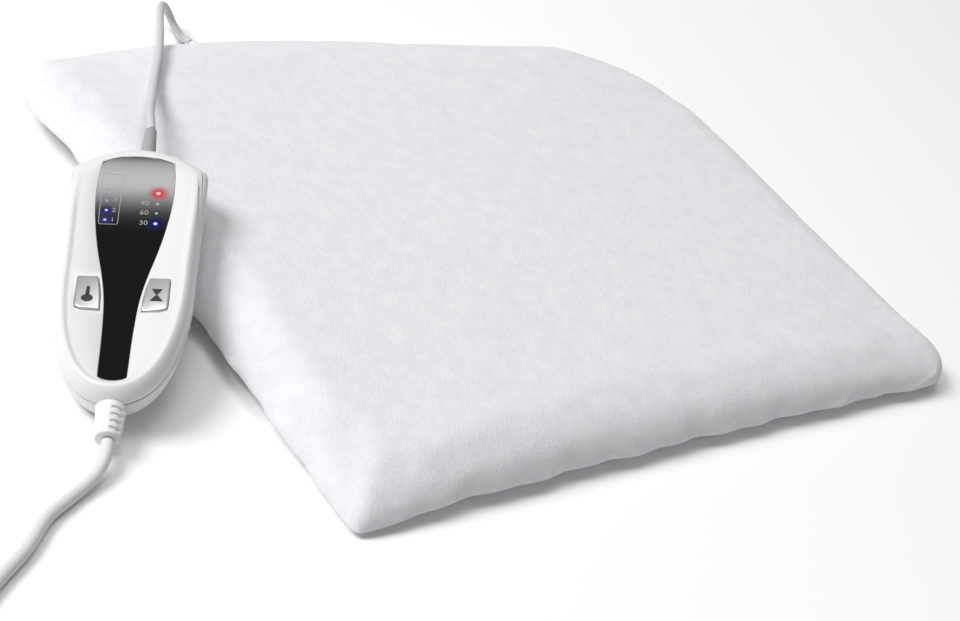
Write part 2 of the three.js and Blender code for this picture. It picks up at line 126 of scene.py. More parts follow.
# %% [markdown]
# The mains lead is thicker. It leaves the control's lower end, rests on the floor and runs out of
# the picture. What the picture doesn't show is put away as a neat coil of two layers: the cord
# winds in along the floor, steps up onto the top layer, and winds out again to the plug.

# %% Where the mains lead runs
MAINS_DIAMETER = 5.8 * MM
MAINS_ROUTE_MM = [
    (-308.9, -92.6, 9.1), (-313, -98.7, 7.6), (-318.6, -104.2, 5.5), (-325.6, -108.5, 3.9),
    (-333.3, -112.2, 3), (-341.2, -116, 3), (-348.6, -119.6, 3), (-355.2, -124, 3),
    (-361.4, -129.3, 3), (-368.2, -135, 3), (-376.2, -140.4, 3), (-385.6, -146.4, 3),
    (-395.8, -153.4, 3), (-407.9, -162.4, 3),
]
TAIL_ROUTE_MM = [(-495.9, -118.8, 8.4), (-495.9, -108, 6.8), (-495.9, -98, 6.5), (-495.9, -86.7, 7)]
COIL_CENTRE = Vector((-452.9, -142.6, 0)) * MM
COIL_OUTER_TURN = 43 * MM
COIL_PITCH = 5.9 * MM
COIL_FLOOR = 3.0 * MM
COIL_START = -53.1  # degrees, where the lead meets the coil
COIL_TURNS = 7.3525  # clockwise from above, to leave on the left
POINTS_PER_TURN = 24


# %% The coil's winding
def clamp(value):
    return min(1.0, max(0.0, value))


def smooth_step(value, start, end):
    share = clamp((value - start) / (end - start))
    return share * share * (3 - 2 * share)


def coil_point(turns_done):
    """Three turns move in, the fourth steps up, and the last three move out."""
    moves_in = sum(smooth_step(turns_done, k + 0.75, k + 1.0) for k in range(3))
    step_up = smooth_step(turns_done, 3.5, 3.75)
    moves_out = sum(smooth_step(turns_done, k + 0.25, k + 0.5) for k in range(4, 7))
    radius = COIL_OUTER_TURN - COIL_PITCH * (moves_in - moves_out)
    angle = math.radians(COIL_START - 360 * turns_done)
    flat = Vector((math.cos(angle), math.sin(angle), 0)) * radius
    return COIL_CENTRE + flat + Vector((0, 0, COIL_FLOOR + COIL_PITCH * step_up))


steps = round(COIL_TURNS * POINTS_PER_TURN)
coil_route = [coil_point(COIL_TURNS * i / steps) for i in range(steps + 1)]
mains_route = from_mm(MAINS_ROUTE_MM) + coil_route + from_mm(TAIL_ROUTE_MM)
mains_cord = make_cord("mains_cord", mains_route, MAINS_DIAMETER)
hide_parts("mains_lead", "mains_coil", "mains_tail")


# %% [markdown]
# The tie is a soft strip round one side of the coil. A circle of edges is pulled out to the coil's
# section, drawn along into a band, and given its thickness by a modifier.

# %% The coil's tie
def new_piece(name, bm, body=BODY, smooth=True):
    mesh = bpy.data.meshes.new(name)
    for face in bm.faces:
        face.smooth = smooth
    bm.to_mesh(mesh)
    bm.free()
    print(name, "has", len(mesh.polygons), "faces")
    return add_to_scene(name, mesh, body)


def extruded(bm, edges):
    """The next ring, drawn from a ring of edges: its points, and its own edges."""
    made = bmesh.ops.extrude_edge_only(bm, edges=edges)["geom"]
    verts = [part for part in made if isinstance(part, bmesh.types.BMVert)]
    return verts, [part for part in made if isinstance(part, bmesh.types.BMEdge)]


def solidified(piece, thickness):
    """A wall of this thickness, half of it on each side of the mesh."""
    wall = piece.modifiers.new("wall", "SOLIDIFY")
    wall.thickness = thickness
    wall.offset = 0.0
    wall.use_even_offset = True
    return piece


TIE = {"angle": 60, "width": 5 * MM, "thick": 0.7 * MM, "squareness": 0.55}
EASE_ACROSS, EASE_UP = 0.7 * MM, 0.6 * MM  # between the coil's cord and the strip
ABOVE_FLOOR = 0.1 * MM
bundle_mid = COIL_OUTER_TURN - 1.5 * COIL_PITCH
bundle_half = Vector((2 * COIL_PITCH + EASE_ACROSS, COIL_PITCH + EASE_UP))
bm = bmesh.new()
bmesh.ops.create_circle(bm, segments=40, radius=1.0)
for vert in bm.verts:
    rounding = max(abs(vert.co.x), abs(vert.co.y)) ** TIE["squareness"]
    vert.co.x *= bundle_half.x / rounding
    vert.co.y *= bundle_half.y / rounding
bmesh.ops.rotate(bm, verts=bm.verts, matrix=Matrix.Rotation(math.pi / 2, 3, "X"))
far_ring, _ = extruded(bm, list(bm.edges))
bmesh.ops.translate(bm, vec=(0, TIE["width"], 0), verts=far_ring)
bmesh.ops.translate(bm, vec=(bundle_mid, -TIE["width"] / 2, COIL_FLOOR + COIL_PITCH / 2),
                    verts=bm.verts)
bmesh.ops.rotate(bm, verts=bm.verts, matrix=Matrix.Rotation(math.radians(TIE["angle"]), 3, "Z"))
bmesh.ops.translate(bm, vec=COIL_CENTRE, verts=bm.verts)
for vert in bm.verts:
    vert.co.z = max(vert.co.z, TIE["thick"] / 2 + ABOVE_FLOOR)
bmesh.ops.recalc_face_normals(bm, faces=bm.faces)
coil_tie = solidified(new_piece("coil_tie", bm), TIE["thick"])

# %% [markdown]
# The pad is two fleece covers joined by a seam a little above the surface it lies on. The top
# cover rolls up steeply from the seam and is nearly flat on top, and the lower one rolls under.
# Two grids of cells are drawn out to the pad's outline, with more cells near the seam, and their
# edges are bridged.

# %% The pad's measures
PAD_LENGTH, PAD_WIDTH = 460 * MM, 340 * MM
SEAM_HEIGHT, SEAM_LIP = 8 * MM, 1.6 * MM
TOP_RISE, ROLL_OVER, CROWN = 19 * MM, 27 * MM, 3 * MM
UNDER_ROLL, UNDER_POWER = 9 * MM, 1.3
CORNER_THIN, CORNER_REACH = 0.25, 70 * MM
BOW = {  # in mm: how far a side is drawn in at its middle, and how it leans towards one end
    "near": (3.6, 0), "right": (0, -4.5), "back": (-15.8, 7.1), "left": (4.6, -1),
}
CORNERS = {(-1, -1): 5 * MM, (1, -1): 28 * MM, (1, 1): 94 * MM, (-1, 1): 30 * MM}
LIFT_HEIGHT, LIFT_REACH, LIFT_FULL_AT = 7 * MM, 177 * MM, 296 * MM
LIFT_FADE, LIFT_GROWTH = 1.7, 0.9  # powers, away from the left side and towards the back
CURL = {"height": 4.5 * MM, "y": 98 * MM, "reach": 45 * MM, "inward": 70 * MM}
TIP = {"inward": 6 * MM, "dip": 5 * MM, "reach": 34 * MM}  # the near left corner
PUCKER_PLAN, PUCKER_FADE = 0.7 * MM, 40 * MM
LONG_WAVE, SHORT_WAVE, WAVE_TURN, WAVE_SLANT = 74 * MM, 31 * MM, 6, 1.7


def sign(value):
    return -1 if value < 0 else 1


def roll_up(share):
    """Steep at 0 and level at 1, as a quarter of a circle is."""
    return math.sqrt(1 - (1 - clamp(share)) ** 2)


print("pad:", PAD_LENGTH, "by", PAD_WIDTH, "m before its sides are drawn in")


# %% The pad's outline in plan
def round_corner(from_end, from_side, radius):
    """A point on the straight outline near a corner moves onto the corner's arc."""
    along = from_end + from_side
    if along >= radius:
        return from_end, from_side
    angle = (1 - along / radius) * math.pi / 4
    small, large = radius * (1 - math.cos(angle)), radius * (1 - math.sin(angle))
    return (small, large) if from_end == 0 else (large, small)


def side_bow(side, share):
    """A share runs from -1 at one end to 1 at the other. A bow below 0 is outwards."""
    middle, lean = BOW[side]
    along = min(1.0, max(-1.0, share))
    return (middle * math.cos(math.pi / 2 * along) + lean * math.sin(math.pi * along)) * MM


def tip_share(x, y):
    """1 at the near left corner, fading to 0 round it."""
    return math.exp(-((math.hypot(x + PAD_LENGTH / 2, y + PAD_WIDTH / 2) / TIP["reach"]) ** 2))


def pad_edge(s, t):
    """s and t run from -1 to 1, and one of them is at its end."""
    from_end, from_side = round_corner(PAD_LENGTH / 2 * (1 - abs(s)), PAD_WIDTH / 2 * (1 - abs(t)),
                                       CORNERS[sign(s), sign(t)])
    x = sign(s) * (PAD_LENGTH / 2 - from_end)
    y = sign(t) * (PAD_WIDTH / 2 - from_side)
    run = x + WAVE_SLANT * y
    waves = sum(math.sin(run / wave * WAVE_TURN) for wave in (LONG_WAVE, SHORT_WAVE))
    pucker = PUCKER_PLAN * waves
    if abs(t) >= abs(s):
        bow = side_bow("near" if t < 0 else "back", 2 * x / PAD_LENGTH)
        y -= sign(t) * (bow + pucker * clamp(from_end / PUCKER_FADE))
    else:
        bow = side_bow("left" if s < 0 else "right", 2 * y / PAD_WIDTH)
        x -= sign(s) * (bow + pucker * clamp(from_side / PUCKER_FADE))
    return Vector((x + TIP["inward"] * tip_share(x, y), y, 0))


print("middles of the left and right sides:", [round(pad_edge(s, 0).x, 4) for s in (-1, 1)])


# %% The pad's height over the surface
def seam_distance(x, y, to_edge):
    bow_x = (side_bow("left" if x < 0 else "right", 2 * y / PAD_WIDTH)
             + TIP["inward"] * tip_share(x, y))
    bow_y = side_bow("near" if y < 0 else "back", 2 * x / PAD_LENGTH)
    from_end, from_side = PAD_LENGTH / 2 - abs(x) - bow_x, PAD_WIDTH / 2 - abs(y) - bow_y
    return max(0.0, min(from_end, from_side, to_edge))


def pad_lift(x, y):
    """The left side is raised, more towards the back, with one short hump in it."""
    from_left = x + PAD_LENGTH / 2
    slope = (clamp(1 - from_left / LIFT_REACH) ** LIFT_FADE
             * clamp((y + PAD_WIDTH / 2) / LIFT_FULL_AT) ** LIFT_GROWTH)
    hump = (clamp(1 - from_left / CURL["inward"]) ** LIFT_FADE
            * math.cos(math.pi / 2 * clamp(abs(y - CURL["y"]) / CURL["reach"])) ** 2)
    return LIFT_HEIGHT * slope + CURL["height"] * hump


def pad_height(x, y, distance, on_top):
    seam = SEAM_HEIGHT - TIP["dip"] * tip_share(x, y)
    if not on_top:
        under = (1 - clamp(distance / UNDER_ROLL)) ** UNDER_POWER
        return pad_lift(x, y) + (seam - SEAM_LIP / 2) * under
    crown = max(0.0, (1 - (2 * x / PAD_LENGTH) ** 2) * (1 - (2 * y / PAD_WIDTH) ** 2))
    away = math.hypot(PAD_LENGTH / 2 - abs(x), PAD_WIDTH / 2 - abs(y))
    thin = 1 - CORNER_THIN * math.exp(-((away / CORNER_REACH) ** 2))
    rise = TOP_RISE * roll_up(distance / ROLL_OVER) * thin
    return pad_lift(x, y) + seam + SEAM_LIP / 2 + rise + CROWN * crown


print("the pad is", round(pad_height(0, 0, PAD_WIDTH / 2, True), 4), "m high at its middle")

# %% The two covers
CELLS_ALONG, CELLS_ACROSS, SEAM_CROWDING = 72, 56, 1.6
MIDDLE_RING, SEAM_RING = 1e-6, 0.9999


def draw_out(vert, on_top):
    s, t = vert.co.x, vert.co.y
    ring = max(abs(s), abs(t))
    reach = 1 - (1 - ring) ** SEAM_CROWDING
    edge = pad_edge(s / ring, t / ring) if ring > MIDDLE_RING else pad_edge(1, 0)
    to_edge = 0.0 if ring > SEAM_RING else edge.length * (1 - reach)
    x, y = edge.x * reach, edge.y * reach
    distance = seam_distance(x, y, to_edge)
    vert.co = Vector((x, y, pad_height(x, y, distance, on_top)))


bm = bmesh.new()
for on_top in (False, True):
    cover = bmesh.ops.create_grid(bm, x_segments=CELLS_ALONG, y_segments=CELLS_ACROSS, size=1.0)
    for vert in cover["verts"]:
        draw_out(vert, on_top)
bmesh.ops.bridge_loops(bm, edges=[edge for edge in bm.edges if edge.is_boundary])
bmesh.ops.recalc_face_normals(bm, faces=bm.faces)
pad_cover = new_piece("pad_cover", bm)

# %% [markdown]
# Filled fleece is a little slack between the stitches, so the covers are made again by a short
# cloth simulation. The seam is held where it is, the air inside presses out, and the cloth may
# grow by 0.6 percent. No point may end far from where it was drawn, and nothing sinks below the
# surface.

# %% Let the covers settle as cloth
SLACK, FILL_PRESSURE, MOST_MOVE = 0.006, 4.0, 1.0 * MM
CLOTH_FRAMES, SEAM_BAND = 20, 0.6 * MM


def on_seam(place):
    return seam_distance(place.x, place.y, math.inf) < SEAM_BAND


def settle_cloth(piece):
    mesh = piece.data
    drawn = [v.co.copy() for v in mesh.vertices]
    held = piece.vertex_groups.new(name="seam")
    seam = [v.index for v in mesh.vertices if on_seam(v.co)]
    held.add(seam, 1.0, "REPLACE")
    cloth = piece.modifiers.new("cloth", "CLOTH")
    rules = cloth.settings
    rules.vertex_group_mass = held.name
    rules.quality = 6
    rules.mass = 0.3
    rules.tension_stiffness = rules.compression_stiffness = 18
    rules.shear_stiffness = 6
    rules.bending_stiffness = 0.6
    rules.shrink_min = -SLACK
    rules.use_pressure = True
    rules.uniform_pressure_force = FILL_PRESSURE
    rules.effector_weights.gravity = 0
    scene = bpy.context.scene
    for number in range(1, CLOTH_FRAMES + 1):
        scene.frame_set(number)
    moved = piece.evaluated_get(bpy.context.evaluated_depsgraph_get()).to_mesh()
    places = [v.co.copy() for v in moved.vertices]
    piece.modifiers.remove(cloth)
    scene.frame_set(1)
    most = 0.0
    for vert, before, after in zip(mesh.vertices, drawn, places):
        step = after - before
        if step.length > MOST_MOVE:
            step = step.normalized() * MOST_MOVE
        most = max(most, step.length)
        vert.co = before + step
        vert.co.z = max(vert.co.z, ABOVE_FLOOR)
    piece.vertex_groups.clear()
    mesh.update()
    print("cloth moved", piece.name, "by up to", round(most / MM, 1), "mm, with", len(seam),
          "points held")


settle_cloth(pad_cover)
smoothing = pad_cover.modifiers.new("smooth", "SUBSURF")
smoothing.levels = smoothing.render_levels = 1
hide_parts("pad")

# %% [markdown]
# The control is a white moulded shell in two halves. It was drawn in its own frame, with the face
# up and the pad's lead at +Y, and then laid against the pad: turned in plan and tilted over the
# seam.

# %% The control's seat and outline
SEAT_PLACE, SEAT_TILT, SEAT_TURN = Vector((-233.1, 36.2, 49.9)) * MM, -20, -33.6
CONTROL_SEAT = (Matrix.Translation(SEAT_PLACE)
                @ Matrix.Rotation(math.radians(SEAT_TILT), 4, "Y")
                @ Matrix.Rotation(math.radians(SEAT_TURN), 4, "Z"))
HALF_WIDTH, TOP_END, LOWER_END = 33.3, 21.4, -137.3
MIDDLE = (TOP_END + LOWER_END) / 2
HALF_LENGTH = (TOP_END - LOWER_END) / 2
FACE, PARTING, BELLY = -1.2, -9.0, -26.0
OUTLINE_CURVES = [
    [(0, 21.4), (10.8, 21.4), (21.6, 16.05), (27, 11.7)],
    [(27, 11.7), (31.7, 8.3), (33.3, 7.8), (33.3, 3.9)],
    [(33.3, 3.9), (33.6, -18.7), (31.7, -42), (31.7, -64.5)],
    [(31.7, -64.5), (31.7, -101), (23.8, -137.3), (0, -137.3)],
]
CURVE_STEPS, HALF_OUTLINE_STEPS, ON_AXIS = 40, 64, 1e-3


def spaced(points, count):
    """The same line with its points evenly spaced along it."""
    lengths = [0.0]
    for a, b in zip(points, points[1:]):
        lengths.append(lengths[-1] + (b - a).length)
    result, k = [], 0
    for i in range(count + 1):
        want = lengths[-1] * i / count
        while k < len(points) - 2 and lengths[k + 1] < want:
            k += 1
        share = (want - lengths[k]) / (lengths[k + 1] - lengths[k])
        result.append(points[k].lerp(points[k + 1], min(1.0, share)))
    return result


def bezier_line(curves):
    line = []
    for curve in curves:
        p0, h0, h1, p1 = (Vector((*p, 0)) for p in curve)
        line += geometry.interpolate_bezier(p0, h0, h1, p1, CURVE_STEPS)[bool(line):]
    return line


def both_sides(right_half):
    """The right half from top to bottom, then the left half back up, as one closed line."""
    left = [Vector((-p.x, p.y, 0)) for p in reversed(right_half) if abs(p.x) > ON_AXIS]
    return right_half + left


def place_line(bm, line):
    """A closed ring of edges through the points."""
    ring = bmesh.ops.create_circle(bm, segments=len(line), radius=1.0)["verts"]
    for vert, point in zip(ring, line):
        vert.co = point
    return [edge for edge in bm.edges if edge.verts[0] in ring and edge.verts[1] in ring]


control_outline = both_sides(spaced(bezier_line(OUTLINE_CURVES), HALF_OUTLINE_STEPS))
print("control outline:", len(control_outline), "points")


# %% [markdown]
# Each shell starts as the outline's ring of edges. It is extruded level by level, and each new ring
# is scaled in towards the middle and moved to its height, so the wall rounds over evenly.

# %% Rings of the shells
ABOUT_MIDDLE = Matrix.Translation((0, -MIDDLE, 0))
RIM_REACH, RIM_POWER = 26, 0.8


def drawn_in(inset):
    return Vector((1 - inset / HALF_WIDTH, 1 - inset / HALF_LENGTH, 1))


def next_ring(bm, edges, inset_from, inset_to):
    verts, ring = extruded(bm, edges)
    start, end = drawn_in(inset_from), drawn_in(inset_to)
    bmesh.ops.scale(bm, vec=(end.x / start.x, end.y / start.y, 1), verts=verts, space=ABOUT_MIDDLE)
    return verts, ring


def rim_share(y):
    """The raised rim runs up both sides and dies away towards the top."""
    return clamp(-y / RIM_REACH) ** RIM_POWER


def shell_rings(bm, levels):
    """The last ring's edges, and each ring's points with how far in they are."""
    edges = place_line(bm, control_outline)
    inset_before, rings = 0.0, []
    for number, (with_rim, without_rim, inset) in enumerate(levels):
        if number == 0:
            verts = list(bm.verts)
            bmesh.ops.scale(bm, vec=drawn_in(inset), verts=verts, space=ABOUT_MIDDLE)
        else:
            verts, edges = next_ring(bm, edges, inset_before, inset)
        for vert in verts:
            vert.co.z = without_rim + (with_rim - without_rim) * rim_share(vert.co.y)
        rings.append((verts, inset))
        inset_before = inset
    return edges, rings


print("drawn in by 5 mm, the outline is scaled by", [round(part, 3) for part in drawn_in(5).xy])


# %% [markdown]
# The parting between the shells is level along the control, and slopes up in the wall round the
# top end. The rings near it are moved up to it and drawn in as far as the wall is at their new
# height.

# %% The sloping parting
SLOPE_FROM, SLOPE_TO, SLOPE_TOP = -46, -4, -2.7
WALL_PROFILE = [  # height, and how far in the wall is there
    (-1.4, 5.0), (-1.6, 4.4), (-1.9, 3.7), (-2.4, 2.8), (-3.1, 2.0), (-3.9, 1.3), (-4.9, 0.7),
    (-6.1, 0.2), (-7.5, 0.0), (-26, 0.0),
]
BELLY_TOP = -11  # below this, how far in a ring is comes from the belly alone


def parting_at(y):
    return PARTING + (SLOPE_TOP - PARTING) * clamp((y - SLOPE_FROM) / (SLOPE_TO - SLOPE_FROM))


def wall_inset(z):
    for (high, inset_high), (low, inset_low) in zip(WALL_PROFILE, WALL_PROFILE[1:]):
        if z >= low:
            return inset_low + (inset_high - inset_low) * clamp((z - low) / (high - low))
    return 0.0


def slope_rings(rings, fixed_height):
    """Heights up to fixed_height are spread anew, so that the first ring follows the slope."""
    for verts, inset in rings:
        shrink = drawn_in(inset)
        for vert in verts:
            x, y = vert.co.x / shrink.x, MIDDLE + (vert.co.y - MIDDLE) / shrink.y
            parting = parting_at(y)
            share = (vert.co.z - fixed_height) / (PARTING - fixed_height)
            if parting == PARTING or share <= 0:
                continue
            z = fixed_height + (parting - fixed_height) * share
            edge_round = inset - wall_inset(vert.co.z) if vert.co.z > BELLY_TOP else inset
            new_shrink = drawn_in(max(0.0, edge_round + wall_inset(z)))
            vert.co = Vector((x * new_shrink.x, MIDDLE + (y - MIDDLE) * new_shrink.y, z))


print("parting at the top end:", SLOPE_TOP, "mm")

# %% [markdown]
# The face is flat inside the rim. The black window and the two keys sit in pockets in it, so the
# face is one triangle fill between the rim's foot and three outlines, and each outline is then
# sunk.

# %% Outlines of the window and the keys
WINDOW_HALF_WIDTHS = [
    (8.4, 17), (-5, 18.1), (-20, 17.8), (-36, 16.1), (-52, 13.4), (-66, 10.4), (-80, 8.1),
    (-95, 7), (-127.5, 6.3),
]
WINDOW_TOP, WINDOW_SHOULDER, WINDOW_BOTTOM = 12.8, 8.4, -129.3
FOOT_HALF_WIDTH, FOOT_ROUND = 6.3, 1.8
KEY_LINE = [
    (11.8, -68), (20.8, -68), (20.8, -84), (20.4, -86.6), (17.4, -87.9), (9.4, -88.4),
    (9.8, -79.4), (10.7, -73),
]


def at_height(points, height=0.0):
    """Points in plan, as vectors at one height."""
    return [Vector((point[0], point[1], height)) for point in points]


def smooth_line(points):
    """A curve through the points, as a curve object makes it, read back as a list."""
    curve = bpy.data.curves.new("line", "CURVE")
    curve.dimensions = "3D"
    curve.resolution_u = 6
    spline = curve.splines.new("BEZIER")
    spline.bezier_points.add(len(points) - 1)
    for place, point in zip(spline.bezier_points, at_height(points)):
        place.co = point
        place.handle_left_type = place.handle_right_type = "AUTO"
    holder = bpy.data.objects.new("line", curve)
    bpy.context.scene.collection.objects.link(holder)
    line = [v.co.copy() for v in holder.to_mesh().vertices]
    bpy.data.objects.remove(holder)
    return line


def window_line(grow=0.0):
    side = [(half + grow, y + (grow if y > 0 else 0)) for y, half in WINDOW_HALF_WIDTHS]
    top_drop = WINDOW_TOP - WINDOW_SHOULDER
    top = [(side[0][0] * k / 6, WINDOW_TOP + grow - top_drop * (k / 6) ** 2) for k in range(6)]
    foot = [(FOOT_HALF_WIDTH * k / 3, WINDOW_BOTTOM - grow + FOOT_ROUND * (k / 3) ** 2)
            for k in (2, 1, 0)]
    return both_sides(at_height(top) + smooth_line(side) + at_height(foot))


def grown(line, by):
    """A clockwise line with each of its sides moved out by the same distance."""
    result = []
    for before, point, after in zip(line[-1:] + line[:-1], line, line[1:] + line[:1]):
        out_before = Vector((before.y - point.y, point.x - before.x, 0)).normalized()
        out_after = Vector((point.y - after.y, after.x - point.x, 0)).normalized()
        corner = out_before + out_after
        result.append(point + corner * (2 * by / corner.length_squared))
    return result


def key_line(side, grow=0.0):
    line = grown(at_height(KEY_LINE), grow)
    line = [Vector((side * p.x, p.y, 0)) for p in line]
    return line if side > 0 else line[::-1]


print("window outline:", len(window_line()), "points")


# %% The upper shell
UPPER_LEVELS = [  # height with the rim, height without it, and how far in, in mm
    (-9.0, -9.0, 0.3), (-8.75, -8.75, 0.08), (-7.5, -7.5, 0.0), (-6.0, -6.1, 0.2),
    (-4.6, -4.9, 0.7), (-3.4, -3.9, 1.3), (-2.3, -3.1, 2.0), (-1.3, -2.4, 2.8), (-0.5, -1.9, 3.7),
    (-0.1, -1.6, 4.4), (0.0, -1.4, 5.0), (-0.2, -1.25, 5.7), (-0.7, -1.2, 6.5), (-1.1, -1.2, 7.2),
    (-1.2, -1.2, 7.9),
]
WALL_RINGS, WALL_TOP = 10, -1.4
WINDOW_GAP, KEY_GAP, POCKET_CHAMFER = 0.35, 0.55, 0.25
POCKETS = [  # each one's outline and depth
    (window_line(WINDOW_GAP), 1.6), (key_line(1, KEY_GAP), 3.0), (key_line(-1, KEY_GAP), 3.0),
]


def filled(bm, edges):
    return bmesh.ops.contextual_create(bm, geom=edges)["faces"][0]


def sink(bm, edges, depth, chamfer):
    """A hole's outline gets a small chamfer, straight walls and a floor."""
    face = filled(bm, edges)
    bmesh.ops.inset_region(bm, faces=[face], thickness=chamfer, use_even_offset=True)
    bmesh.ops.translate(bm, vec=(0, 0, -chamfer), verts=face.verts)
    lowered = bmesh.ops.extrude_discrete_faces(bm, faces=[face])["faces"]
    bmesh.ops.translate(bm, vec=(0, 0, -depth), verts=lowered[0].verts)


def in_metres(bm):
    """Faces are turned outwards, and millimetres become metres."""
    bmesh.ops.recalc_face_normals(bm, faces=bm.faces)
    bmesh.ops.scale(bm, vec=(MM, MM, MM), verts=bm.verts)
    return bm


def seated(bm):
    """From the control's own millimetres to its place on the pad, in metres."""
    bmesh.ops.transform(in_metres(bm), matrix=CONTROL_SEAT, verts=bm.verts)
    return bm


bm = bmesh.new()
rim_foot, rings = shell_rings(bm, UPPER_LEVELS)
slope_rings(rings[:WALL_RINGS], WALL_TOP)
holes = [place_line(bm, at_height(line, FACE)) for line, _ in POCKETS]
bmesh.ops.triangle_fill(bm, use_beauty=True, edges=rim_foot + [e for hole in holes for e in hole])
for hole, (_, depth) in zip(holes, POCKETS):
    sink(bm, hole, depth, POCKET_CHAMFER)
upper_shell = new_piece("upper_shell", seated(bm))
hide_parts("control_upper_shell")

# %% The lower shell
BELLY_START, BELLY_RINGS, BELLY_INSET, BELLY_POWER = PARTING - 1.5, 14, 16.0, 2.2
lower_levels = [(PARTING - 0.3, 0.45), (PARTING - 0.42, 0.2), (PARTING - 0.7, 0.05),
                (BELLY_START, 0.0)]
for step in range(1, BELLY_RINGS + 1):
    share = math.sin(step / BELLY_RINGS * math.pi / 2)
    belly = BELLY_INSET * (1 - math.sqrt(max(0.0, 1 - share ** BELLY_POWER)))
    lower_levels.append((BELLY_START + (BELLY - BELLY_START) * share, belly))
bm = bmesh.new()
last_ring, rings = shell_rings(bm, [(z, z, inset) for z, inset in lower_levels])
slope_rings(rings[:-1], BELLY)
filled(bm, last_ring)
lower_shell = new_piece("lower_shell", seated(bm))
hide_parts("control_lower_shell")


# %% [markdown]
# The window is one smooth black plate, a hair below the face. Small lamps show through it: round
# studs with a coloured dome. The keys are bevelled caps, each with a plain inlaid sign.

# %% The window
WINDOW_FACE, WINDOW_BACK = FACE - 0.1, FACE - 1.55


def round_edges(bm, edges, width, segments):
    bmesh.ops.bevel(bm, geom=edges, offset=width, offset_type="OFFSET", affect="EDGES",
                    segments=segments, profile=0.5, material=-1, clamp_overlap=True)


def plate(bm, line, low, high, bevel=0.0, segments=1):
    edges = place_line(bm, at_height(line, high))
    filled(bm, edges)
    wall, foot = extruded(bm, edges)
    bmesh.ops.translate(bm, vec=(0, 0, low - high), verts=wall)
    filled(bm, foot)
    if bevel:
        round_edges(bm, edges, bevel, segments)


bm = bmesh.new()
plate(bm, window_line(), WINDOW_BACK, WINDOW_FACE, 0.15, 2)
window = new_piece("window", seated(bm), smooth=False)
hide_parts("control_window")


# %% The keys
KEY_FACE, KEY_BACK = FACE + 0.9, FACE - 2.0


def key_cap(name, side, body):
    bm = bmesh.new()
    plate(bm, key_line(side), KEY_BACK, KEY_FACE, 0.7, 4)
    return new_piece(name, seated(bm), body)


right_key = key_cap("right_key_cap", 1, "right_key")
left_key = key_cap("left_key_cap", -1, "left_key")
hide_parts("key_right")
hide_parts("key_left")


# %% [markdown]
# Where a lead leaves a housing it passes through a tapered sleeve, so that it can't kink there.
# Each sleeve is a ring that is extruded along the lead. The mains sleeve has short slots across
# its right side and across the side opposite.

# %% Sleeves
SLEEVE_SIDES, SLEEVE_EDGE = 56, 0.12 * MM
SLOT_TURN = math.radians(39)
SLOT_SIDE = Vector((-math.sin(SLOT_TURN), 0, math.cos(SLOT_TURN)))
SLOT_ENDS = (0.86, 0.93)  # a slot begins and is full where the side faces SLOT_SIDE this much
SLOT_PITCH, SLOT_WIDTH, SLOT_DEPTH, SLOT_WALL = 3.6, 1.7, 0.9, 0.12


def sleeve_rings(bm, stations):
    """stations holds (place along, radius, slot depth); the sleeve runs along +Y."""
    ring = bmesh.ops.create_circle(bm, segments=SLEEVE_SIDES, radius=1.0)["verts"]
    bmesh.ops.rotate(bm, verts=ring, matrix=Matrix.Rotation(math.pi / 2, 3, "X"))
    edges = list(bm.edges)
    for number, (along, radius, slot) in enumerate(stations):
        if number:
            ring, edges = extruded(bm, edges)
        for vert in ring:
            out = Vector((vert.co.x, 0, vert.co.z)).normalized()
            facing_slots = smooth_step(abs(out.dot(SLOT_SIDE)), *SLOT_ENDS)
            vert.co = out * (radius - slot * facing_slots) + Vector((0, along, 0))
        if number == 0:
            filled(bm, edges)
    filled(bm, edges)


def tapered(length, base, tip, slots=0, first=7.5):
    def radius_at(along):
        return base + (tip - base) * along / length

    stations = [(0, base, 0)]
    for number in range(slots):
        start = first + number * SLOT_PITCH
        for along, slot in ((0, 0), (SLOT_WALL, SLOT_DEPTH),
                            (SLOT_WIDTH - SLOT_WALL, SLOT_DEPTH), (SLOT_WIDTH, 0)):
            stations.append((start + along, radius_at(start + along), slot))
    stations += [(length - 0.8, radius_at(length - 0.8), 0), (length - 0.25, tip - 0.15, 0),
                 (length, tip - 0.6, 0)]
    return stations


def turned_sleeve(name, stations, turn, place, on_control=False):
    bm = bmesh.new()
    sleeve_rings(bm, stations)
    bmesh.ops.rotate(bm, verts=bm.verts, matrix=Matrix.Rotation(math.radians(turn), 3, "Z"))
    bmesh.ops.translate(bm, vec=place, verts=bm.verts)
    made = new_piece(name, seated(bm) if on_control else in_metres(bm))
    bevel = made.modifiers.new("edges", "BEVEL")
    bevel.width, bevel.segments, bevel.limit_method = SLEEVE_EDGE, 2, "ANGLE"
    return made


lead_sleeve = turned_sleeve("lead_sleeve_cover", tapered(27.2, 4.2, 2.9), 0,
                            (2.3, 16, -12), on_control=True)
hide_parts("lead_sleeve")
mains_sleeve = turned_sleeve("mains_sleeve_cover", tapered(21.7, 7.2, 5.6, slots=4), 180,
                             (0, -132, -12), on_control=True)
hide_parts("mains_sleeve")
seam_sleeve_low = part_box("pad_sleeve")[0] / MM
pad_sleeve = turned_sleeve("pad_sleeve_cover", tapered(14, 4.4, 3.0), 0,
                           (-91, seam_sleeve_low.y, 8.6))
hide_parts("pad_sleeve")

# %% [markdown]
# The plug is a flat two-pin one. Its body is a plate with well rounded edges that widens towards
# the pins, and each pin is thicker over its first half, as a collar.

# %% The plug
PLUG_PLACE = Vector((-495.9, -66, 7))
PLUG_HALF_THICK, CORNER_ROUND, EDGE_ROUND = 7, 3.0, 3.2
PLUG_LINE = [(-8.5, 0), (8.5, 0), (17.5, 23), (17.5, 36), (-17.5, 36), (-17.5, 23)]


def climb(edge):
    return abs(edge.verts[0].co.z - edge.verts[1].co.z)


